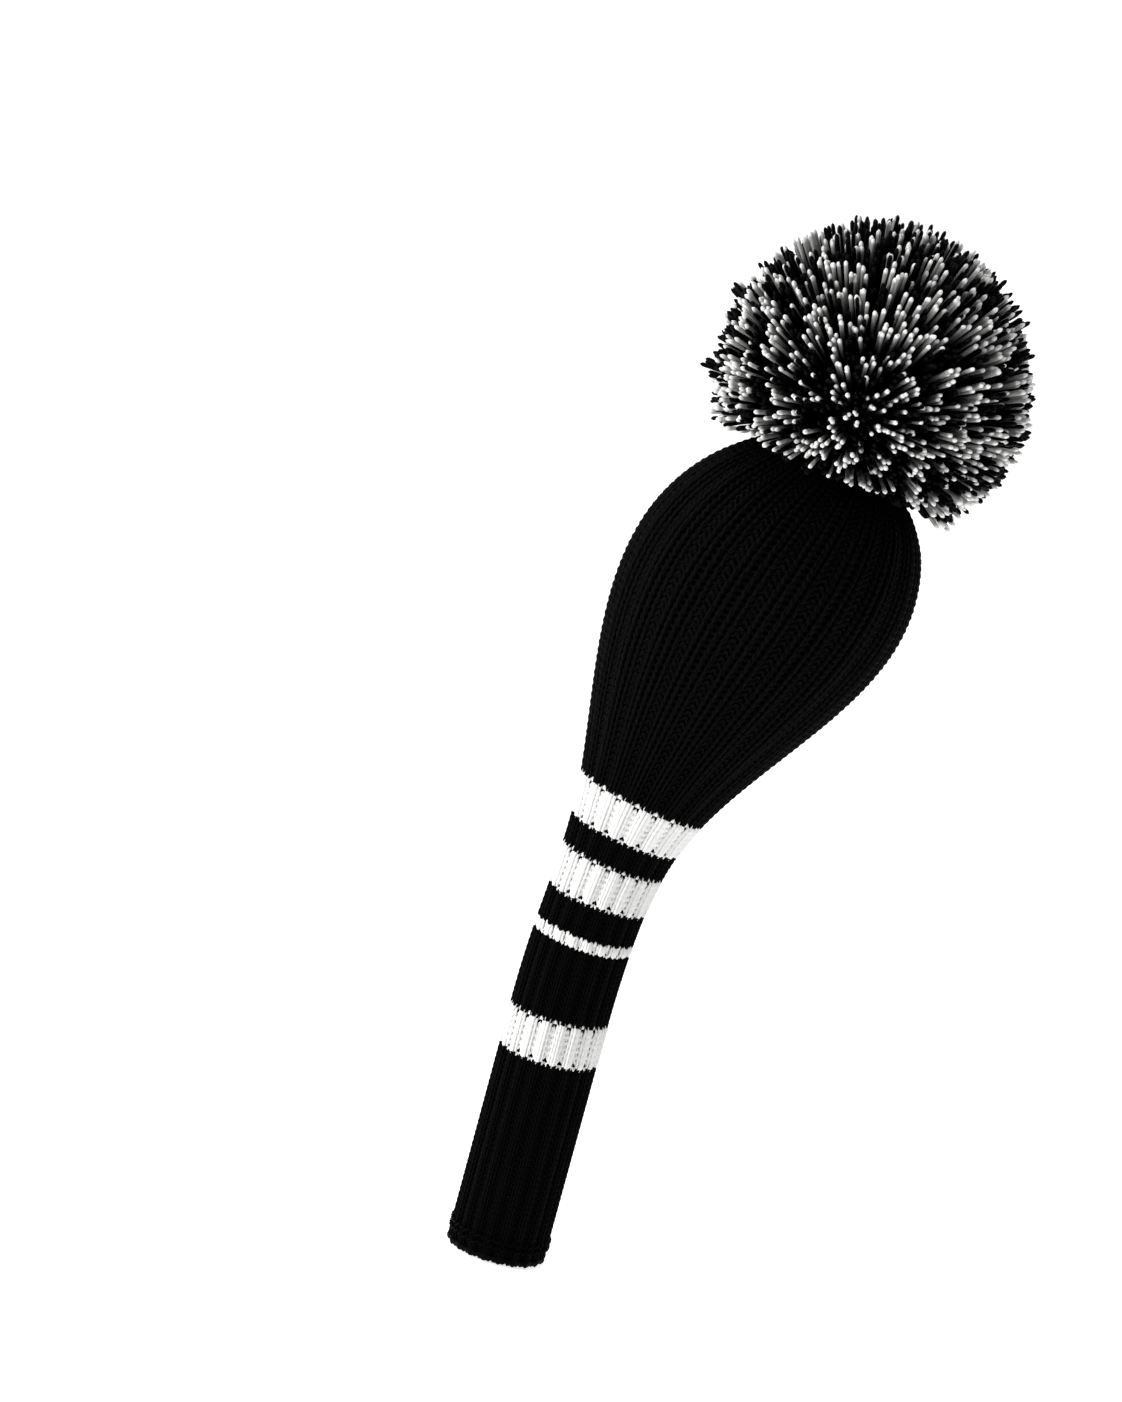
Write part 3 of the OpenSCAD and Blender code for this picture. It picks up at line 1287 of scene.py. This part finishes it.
@dataclass
class CrownTie:
    """What holds the pom-pom: gathering yarn, button, knot, tie ends, shank and binding."""

    gather_r: float = 8 * MM
    gather_yarn: float = 0.75 * MM
    gather_points: int = 96
    gather_folds: int = 10
    gather_wave: float = 0.35 * MM
    gather_rise: float = 0.2
    tails: PliedCord = PliedCord(
        "tie_tail_plies", "tie_tails", Body.ANCHOR, low=-6.2 * MM, high=0.8 * MM, radius=3 * MM,
        lay_share=0.52, ply_share=0.46, plies=3, turns=0.8,
    )
    shank: PliedCord = PliedCord(
        "tie_shank_plies", "tie_shank", Body.TIE, low=1.6 * MM, high=6.6 * MM, radius=3.6 * MM,
        lay_share=0.54, ply_share=0.42, plies=4, turns=0.6,
    )
    knot_r: float = 4 * MM
    knot_share: float = 0.3
    knot_lobe: float = 1.6
    knot_height: float = 1.4
    knot_points: int = 120
    wrap_r: float = 8.5 * MM
    wrap: tuple[float, float] = (7.8 * MM, 15.4 * MM)
    wraps: int = 6
    wrap_points: int = 40
    sides: int = 10
    heading_of_rings: tuple[float, float, float] = (0.3, 0.9, 0.31)
    heading_of_cords: tuple[float, float, float] = (0.0, 1.0, 0.05)

    def cord(
        self, name: str, local: np.ndarray, radius: float, slot: Slot, closed: bool
    ) -> bpy.types.Object:
        """Sweeps one or more cords.

        Args:
            name: The piece's name.
            local: Their paths in the crown's frame.
            radius: Their radius.
            slot: Picks the finish: black yarn for Slot.BLACK and tie cord for any other.
            closed: Whether their ends meet.

        Returns:
            The piece.
        """
        parts = MeshParts()
        paths = from_crown(local if local.ndim > 2 else local[None])
        heading = np.array(self.heading_of_rings if closed else self.heading_of_cords)
        outward = np.broadcast_to(unit(heading), paths.shape)
        sweep(parts, paths, np.full(paths.shape[:2], radius), outward, self.sides, closed)
        return parts.build(name, "black" if slot is Slot.BLACK else "cord")

    def gathering(self) -> bpy.types.Object:
        """Runs the yarn that draws the crown together.

        Returns:
            The piece.
        """
        angle = np.arange(self.gather_points) / self.gather_points * FULL_TURN
        wave = self.gather_wave * np.sin(angle * self.gather_folds)
        radius = self.gather_r + wave
        ring = np.stack([radius * np.cos(angle), radius * np.sin(angle), self.gather_rise * wave], -1)
        piece = self.cord("crown_gathering_yarn", ring, self.gather_yarn, Slot.BLACK, True)
        return settle(piece, Body.SOCK, "crown_drawstring")

    def plied(self, cord: PliedCord) -> bpy.types.Object:
        """Builds a cord of several plies.

        Args:
            cord: Which one.

        Returns:
            The piece.
        """
        piece = self.cord(cord.name, cord.paths(), cord.radius * cord.ply_share, Slot.CORD, False)
        return settle(piece, cord.body, cord.node)

    def knot(self) -> bpy.types.Object:
        """Ties the tails in a trefoil under the button.

        Returns:
            The piece.
        """
        t = np.arange(self.knot_points) / self.knot_points * FULL_TURN
        size = self.knot_r * self.knot_share
        x = size * (np.sin(t) + self.knot_lobe * np.sin(2 * t))
        y = size * (np.cos(t) - self.knot_lobe * np.cos(2 * t))
        z = -size * self.knot_height * np.sin(3 * t)
        low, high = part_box("anchor_knot")
        centre = np.array([(a + b) / 2 for a, b in zip(low, high)])
        local = np.stack([x, y, z], -1) + to_crown(centre)
        piece = self.cord("anchor_knot_cord", local, size, Slot.CORD, True)
        return settle(piece, Body.ANCHOR, "anchor_knot")

    def binding(self) -> bpy.types.Object:
        """Winds the yarn that binds the strands.

        Returns:
            The piece.
        """
        low, high = self.wrap
        turns = np.linspace(0, self.wraps, self.wraps * self.wrap_points)
        cord_r = (high - low) / self.wraps / 2
        radius = self.wrap_r - cord_r
        z = low + cord_r + (high - low - 2 * cord_r) * turns / self.wraps
        angle = turns * FULL_TURN
        coil = np.stack([radius * np.cos(angle), radius * np.sin(angle), z], -1)
        piece = self.cord("tie_wrap_turns", coil, cord_r, Slot.BLACK, False)
        return settle(piece, Body.POM, "tie_wrap")

    def build(self) -> list[bpy.types.Object]:
        """Builds every piece of the tie, and gives the CAD model's button its finish.

        Returns:
            The pieces.
        """
        made = [
            self.gathering(), self.plied(self.tails), self.knot(), self.plied(self.shank),
            self.binding(),
        ]
        button = bpy.data.objects["anchor_button"]
        button.data.materials.clear()
        button.data.materials.append(finish_of("button"))
        return made


# ---------------------------------------------------------------- pom-pom
@dataclass
class PomPom:
    """Cut strands of yarn that fan out from the binding to a ball."""

    radius: float = POM_RADIUS
    rise: float = POM_RISE
    tie_rise: float = 11.6 * MM
    strands: int = 4300
    cap_angle: float = math.radians(116)
    strand_jitter: float = 0.32
    cluster_jitter: float = 0.35
    per_cluster: float = 5.0
    clump: tuple[float, float] = (0.0, 0.35)
    tip_wander: float = 0.013
    length_spread: float = 1.3 * MM
    cluster_spread: float = 1.5 * MM
    head_room: float = 0.1
    root: float = 10 * MM
    shares: tuple[float, ...] = (0.0, 0.25, 0.5, 0.7, 0.85, 0.955, 0.98, 0.993)
    swell: tuple[float, ...] = (1, 1, 1, 1, 0.94, 1.1, 1.13, 0.8)
    bend_power: float = 1.5
    sway: float = 1.2 * MM
    strand_r: float = 0.86 * MM
    thinnest: float = 0.9
    thickest: float = 1.08
    packing: float = 0.0245
    sides: int = 7
    heading: tuple[float, float, float] = (0.2, 0.1, 1.0)
    white_share: float = 0.37
    stray_colour: float = 0.12
    neighbours: int = 6
    mixing_rounds: int = 2
    mixing_noise: float = 0.22
    halves: int = 2
    pivot_lift: float = 2.2 * MM
    knit_top: float = 0.6 * MM
    skirt: float = 40 * MM
    crown_samples: tuple[int, int] = (200, 240)
    headings: int = 36
    step: float = 3 * MM
    steps: int = 40
    lifts: int = 3
    twist: float = math.radians(JOINTS["pom_twist"]["range_deg"][1])
    lean: float = math.radians(JOINTS["pom_lean_side"]["range_deg"][1])
    clearance: float = 1.7 * MM
    checked: tuple[float, ...] = (0.55, 0.78, 1.0)
    most_excess: float = 0.01
    most_lift: float = math.radians(16)

    def directions(self, count: int, jitter: float, draws: np.random.Generator) -> np.ndarray:
        """Spreads directions evenly over the pom's cap.

        Args:
            count: How many.
            jitter: Unevenness, as a share of their spacing.
            draws: The random source.

        Returns:
            Unit vectors in the crown's frame.
        """
        index = np.arange(count) + 0.5
        height = 1 - index / count * (1 - math.cos(self.cap_angle))
        golden = math.pi * (3 - math.sqrt(5))
        angle = index * golden
        flat = np.sqrt(np.maximum(1 - height**2, 0))
        vectors = np.stack([flat * np.cos(angle), flat * np.sin(angle), height], -1)
        spacing = math.sqrt(FULL_TURN * (1 - math.cos(self.cap_angle)) / count)
        return unit(vectors + draws.normal(size=vectors.shape) * jitter * spacing)

    def reach(self, directions: np.ndarray) -> np.ndarray:
        """Finds how far it is from the tie to the ball's surface.

        Args:
            directions: Unit vectors in the crown's frame.

        Returns:
            The distance along each of them.
        """
        offset = self.rise - self.tie_rise
        along = directions[:, 2] * offset
        return along + np.sqrt(along**2 + self.radius**2 - offset**2)

    def colours(self, clusters: np.ndarray, draws: np.random.Generator) -> np.ndarray:
        """Chooses the white tufts, so that a tuft tends to differ from its neighbours.

        Args:
            clusters: The tufts' directions.
            draws: The random source.

        Returns:
            True for each white tuft.
        """
        beside = np.argsort(-(clusters @ clusters.T), axis=1)[:, 1 : self.neighbours + 1]
        white = draws.random(len(clusters)) < self.white_share
        for _ in range(self.mixing_rounds):
            for index in draws.permutation(len(clusters)):
                share = white[beside[index]].mean()
                white[index] = share + draws.normal() * self.mixing_noise < self.white_share
        return white

    def horizon(self) -> np.ndarray:
        """Finds how low a strand may point before it meets the crown.

        Returns:
            The crown's smallest angle from the pom's axis, seen from the pivot, by heading and
            distance, over the whole of the pom's twist.
        """
        up, around = self.crown_samples
        way = np.linspace(FORM.wide - self.skirt, FORM.wide + FORM.dome_path, up)[:, None]
        angle = np.linspace(0, FULL_TURN, around)[None]
        crown = FORM.place(*np.broadcast_arrays(way, angle), self.knit_top)
        heading, step, polar = self.seen(to_crown(crown))
        table = np.full((self.headings, self.steps), math.pi)
        np.minimum.at(table, (heading, step), polar)
        reach = round(self.twist / FULL_TURN * self.headings)
        return np.minimum.reduce([np.roll(table, k, axis=0) for k in range(-reach, reach + 1)])

    def seen(self, local: np.ndarray) -> tuple[np.ndarray, np.ndarray, np.ndarray]:
        """Sorts points by how they are seen from the pivot.

        Args:
            local: The points, in the crown's frame.

        Returns:
            Their heading bins, their distance bins and their angles from the axis.
        """
        offset = local - np.array((0, 0, self.pivot_lift))
        distance = np.linalg.norm(offset, axis=-1)
        heading = np.arctan2(offset[..., 1], offset[..., 0]) / FULL_TURN * self.headings
        step = np.clip((distance / self.step).astype(int), 0, self.steps - 1)
        polar = np.arccos(np.clip(offset[..., 2] / np.maximum(distance, TINY), -1, 1))
        return np.mod(np.floor(heading).astype(int), self.headings), step, polar

    def lifted(self, directions: np.ndarray, length: np.ndarray) -> tuple[np.ndarray, np.ndarray]:
        """Lifts strands off the crown by the room that the pom's lean needs.

        Args:
            directions: The strands' directions from the tie.
            length: Their lengths.

        Returns:
            The new directions, and True for each strand that still clears the crown.
        """
        table = self.horizon()
        turned = directions
        for _ in range(self.lifts):
            flat = np.hypot(turned[:, 0], turned[:, 1])
            aside = turned[:, :2] / np.maximum(flat, TINY)[:, None]
            room = self.lean * np.abs(aside).sum(1)
            excess = np.zeros(len(turned))
            for share in self.checked:
                point = turned * (share * length)[:, None] + np.array((0, 0, self.tie_rise))
                heading, step, polar = self.seen(point)
                gap = self.clearance / (share * length)
                excess = np.maximum(excess, polar - table[heading, step] + room + gap)
            angle = np.arctan2(flat, turned[:, 2]) - excess
            turned = np.concatenate([aside * np.sin(angle)[:, None], np.cos(angle)[:, None]], 1)
        moved = np.arccos(np.clip((turned * directions).sum(1), -1, 1))
        return turned, (excess < self.most_excess) & (moved < self.most_lift)

    def spread(self, draws: np.random.Generator) -> tuple[np.ndarray, ...]:
        """Fans the strands out in tufts, clear of the crown.

        Args:
            draws: The random source.

        Returns:
            By strand: its heading at the tie, the direction of its tip, its length, and True
            where it is white.
        """
        heads = self.directions(self.strands, self.strand_jitter, draws)
        count = int(self.strands / self.per_cluster)
        clusters = self.directions(count, self.cluster_jitter, draws)
        nearest = np.argmax(heads @ clusters.T, axis=1)
        pull = draws.uniform(*self.clump, count)[nearest][:, None]
        tips = unit(heads * (1 - pull) + clusters[nearest] * pull)
        tips = unit(tips + draws.normal(size=tips.shape) * self.tip_wander)
        length = self.reach(tips)
        length += draws.normal(size=count)[nearest] * self.cluster_spread
        length += draws.normal(size=len(tips)) * self.length_spread
        white = self.colours(clusters, draws)[nearest]
        white ^= draws.random(len(tips)) < self.stray_colour
        tips, clear = self.lifted(tips, length)
        heads, tips, length, white = heads[clear], tips[clear], length[clear], white[clear]
        above = heads[:, 2:] - tips[:, 2:]
        heads = np.where((above > self.head_room) | (above < 0), tips, heads)
        LOG.info("%d strands clear the crown", len(heads))
        return heads, tips, length, white

    def strand_paths(
        self, heads: np.ndarray, tips: np.ndarray, length: np.ndarray, draws: np.random.Generator
    ) -> tuple[np.ndarray, np.ndarray]:
        """Lays the strands from the tie to their tips.

        Args:
            heads: Their headings at the tie.
            tips: The directions of their tips.
            length: Their lengths.
            draws: The random source.

        Returns:
            Their paths and their radii.
        """
        shares = np.array(self.shares)
        distance = self.root + (length[:, None] - self.root) * shares
        bend = shares[None, :, None] ** self.bend_power
        lines = unit(heads[:, None] * (1 - bend) + tips[:, None] * bend) * distance[..., None]
        sway = unit(draws.normal(size=heads.shape)) * draws.uniform(0, self.sway, len(heads))[:, None]
        lines += sway[:, None] * (4 * shares * (1 - shares))[None, :, None]
        radius = np.minimum(self.strand_r, self.packing * distance) * np.array(self.swell)
        radius *= draws.uniform(self.thinnest, self.thickest, len(heads))[:, None]
        return from_crown(lines + np.array((0, 0, self.tie_rise))), radius

    def build(self) -> list[bpy.types.Object]:
        """Lays every strand and shares them out by colour and side.

        Returns:
            The pieces.
        """
        draws = np.random.default_rng(SEED)
        heads, tips, length, white = self.spread(draws)
        paths, radius = self.strand_paths(heads, tips, length, draws)
        turn = np.array(FORM.pole_frame)[:3, :3]
        across = unit(np.cross(tips, np.array(self.heading))) @ turn.T
        outward = np.broadcast_to(across[:, None], paths.shape)
        side = (np.arctan2(heads[:, 1], heads[:, 0]) > 0).astype(int)
        made = []
        for colour, slot, chosen in (("black", Slot.BLACK, ~white), ("white", Slot.WHITE, white)):
            for half in range(self.halves):
                pick = chosen & (side == half)
                parts = MeshParts()
                sweep(parts, paths[pick], radius[pick], outward[pick], self.sides, closed=False)
                piece = parts.build(f"pom_{colour}_strands_{half + 1}", f"pom_{colour}")
                made.append(settle(piece, Body.POM, f"pom_{colour}_yarn"))
        return made


# ---------------------------------------------------------------- studio
@dataclass(frozen=True)
class Lamp:
    """A soft square lamp."""

    name: str
    place: tuple[float, float, float]
    size: float
    power: float

    def build(self, aim: tuple[float, float, float]) -> None:
        """Hangs the lamp.

        Args:
            aim: The point that it faces.
        """
        data = bpy.data.lights.new(self.name, "AREA")
        data.shape = "SQUARE"
        data.size = self.size
        data.energy = self.power
        lamp = bpy.data.objects.new(self.name, data)
        lamp.location = self.place
        lamp.rotation_euler = (Vector(aim) - Vector(self.place)).to_track_quat("-Z", "Y").to_euler()
        bpy.context.scene.collection.objects.link(lamp)


@dataclass
class Studio:
    """Pale floor, soft lights and the camera."""

    target: tuple[float, float, float] = (-0.0341, 0.0, 0.2408)
    distance: float = 1.6
    elevation: float = 9.0
    roll: float = 15.0
    lens: float = 96.56
    frame_height: float = 36.0
    farthest: float = 50.0
    sky: tuple[float, float] = (0.1, 1.05)
    sky_range: tuple[float, float] = (-0.5, 0.6)
    floor_half: float = 30.0
    floor_level: float = -0.5 * MM
    aim: tuple[float, float, float] = (0.03, 0, 0.3)
    lamps: tuple[Lamp, ...] = (
        Lamp("key", (-1.65, -0.8, 1.05), size=0.5, power=26),
        Lamp("fill", (0.5, -1.6, 0.4), size=0.8, power=1.2),
        Lamp("top", (-0.6, 0.1, 2.1), size=1.2, power=12),
    )

    def backdrop(self, tree: bpy.types.NodeTree) -> None:
        """Makes the sky a white backdrop behind and above, and dimmer in front.

        Args:
            tree: The world's nodes.
        """
        heading = tree.nodes.new("ShaderNodeTexCoord").outputs["Generated"]
        split = tree.nodes.new("ShaderNodeSeparateXYZ")
        tree.links.new(heading, split.inputs[0])
        light = tree.nodes.new("ShaderNodeMapRange")
        light.interpolation_type = "SMOOTHSTEP"
        names = ("From Min", "From Max", "To Min", "To Max")
        for name, value in zip(names, (*self.sky_range, *self.sky)):
            light.inputs[name].default_value = value
        tree.links.new(split.outputs["Y"], light.inputs["Value"])
        shade = tree.nodes["Background"]
        shade.inputs["Color"].default_value = (1, 1, 1, 1)
        tree.links.new(light.outputs[0], shade.inputs["Strength"])

    def camera(self) -> None:
        """Sets the camera a little above the cover, rolled so that the sock leans right."""
        data = bpy.data.cameras.new("studio_camera")
        data.sensor_fit = "VERTICAL"
        data.sensor_height = self.frame_height
        data.lens = self.lens
        data.clip_end = self.farthest
        camera = bpy.data.objects.new("studio_camera", data)
        rise = math.radians(self.elevation)
        offset = Vector((0, -math.cos(rise), math.sin(rise))) * self.distance
        aim = (-offset).to_track_quat("-Z", "Y").to_matrix().to_4x4()
        spin = Matrix.Rotation(math.radians(self.roll), 4, "Z")
        camera.matrix_world = Matrix.Translation(Vector(self.target) + offset) @ aim @ spin
        bpy.context.scene.collection.objects.link(camera)
        bpy.context.scene.camera = camera

    def floor(self) -> None:
        """Lays the floor, which is not part of the object."""
        half, level = self.floor_half, self.floor_level
        mesh = bpy.data.meshes.new("studio_floor")
        corners = [(-half, -half, level), (half, -half, level), (half, half, level), (-half, half, level)]
        mesh.from_pydata(corners, [], [(0, 1, 2, 3)])
        mesh.materials.append(finish_of("floor"))
        floor = bpy.data.objects.new("studio_floor", mesh)
        bpy.context.scene.collection.objects.link(floor)

    def build(self) -> None:
        """Sets up the whole studio."""
        scene = bpy.context.scene
        scene.view_settings.view_transform = "Standard"
        world = bpy.data.worlds.new("studio_world")
        world.use_nodes = True
        self.backdrop(world.node_tree)
        scene.world = world
        self.camera()
        self.floor()
        for lamp in self.lamps:
            lamp.build(self.aim)


def main() -> None:
    """Builds the head cover and its studio in order."""
    logging.basicConfig(level=logging.INFO, format="%(name)s: %(message)s")
    Studio().build()
    for maker in (OuterKnit(), Lining(), Hem(), CrownTie(), PomPom()):
        pieces = maker.build()
        LOG.info("%s made %s", type(maker).__name__, ", ".join(p.name for p in pieces))
    bpy.context.view_layer.update()


if __name__ == "__main__":
    main()
